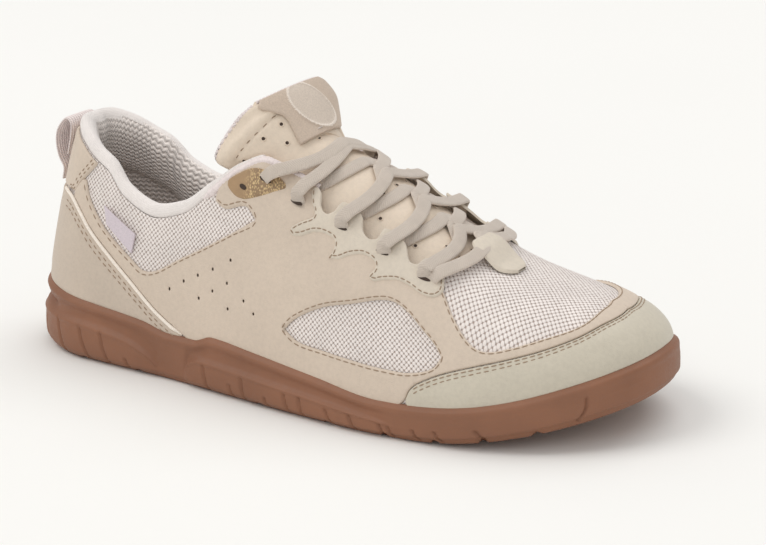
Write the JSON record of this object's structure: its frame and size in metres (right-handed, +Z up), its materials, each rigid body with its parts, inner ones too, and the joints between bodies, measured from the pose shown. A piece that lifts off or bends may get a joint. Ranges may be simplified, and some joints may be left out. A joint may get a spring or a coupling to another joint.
{
  "type": "barefoot shoe",
  "caption": "Low lace-up barefoot shoe for the right foot with a thin flat gum sole, a wide rounded toe, leather panels over knit mesh and a padded collar.",
  "frame": {"origin": "centre of the bounding box in plan, on the plane the sole stands on", "axes": "+X from heel to toe, +Y to the inner (big toe) side of the right shoe, +Z up"},
  "size_m": [0.2938, 0.109, 0.124],
  "materials": {
    "sole_gum": "satin moulded gum rubber",
    "footbed_fabric": "matt woven fabric",
    "vamp_mesh": "matt knit mesh",
    "collar_lining": "soft wavy knit",
    "tongue_leather": "matt grained leather",
    "toe_leather": "matt smooth leather",
    "quarter_leather": "matt smooth leather",
    "eyestay_leather": "matt smooth leather",
    "patch_leather": "grained leather with a soft sheen",
    "tag_fabric": "woven tag",
    "lace_fabric": "flat woven lace",
    "loop_webbing": "ribbed webbing",
    "label_rubber": "matt moulded rubber"
  },
  "bodies": {
    "root": {"outsole": "sole_gum", "insole": "footbed_fabric", "upper": "vamp_mesh", "collar_padding": "collar_lining", "tongue": "tongue_leather", "toe_cap": "toe_leather", "heel_counter": "quarter_leather", "heel_tab": "eyestay_leather", "quarter_lateral": "quarter_leather", "quarter_medial": "quarter_leather", "eyestay_lateral": "eyestay_leather", "eyestay_medial": "eyestay_leather", "eyelet_patch_lateral": "patch_leather", "eyelet_patch_medial": "patch_leather", "side_tag": "tag_fabric", "lace": "lace_fabric", "pull_loop": "loop_webbing", "lace_keeper": "toe_leather", "tongue_label": "label_rubber"}
  },
  "joints": []
}
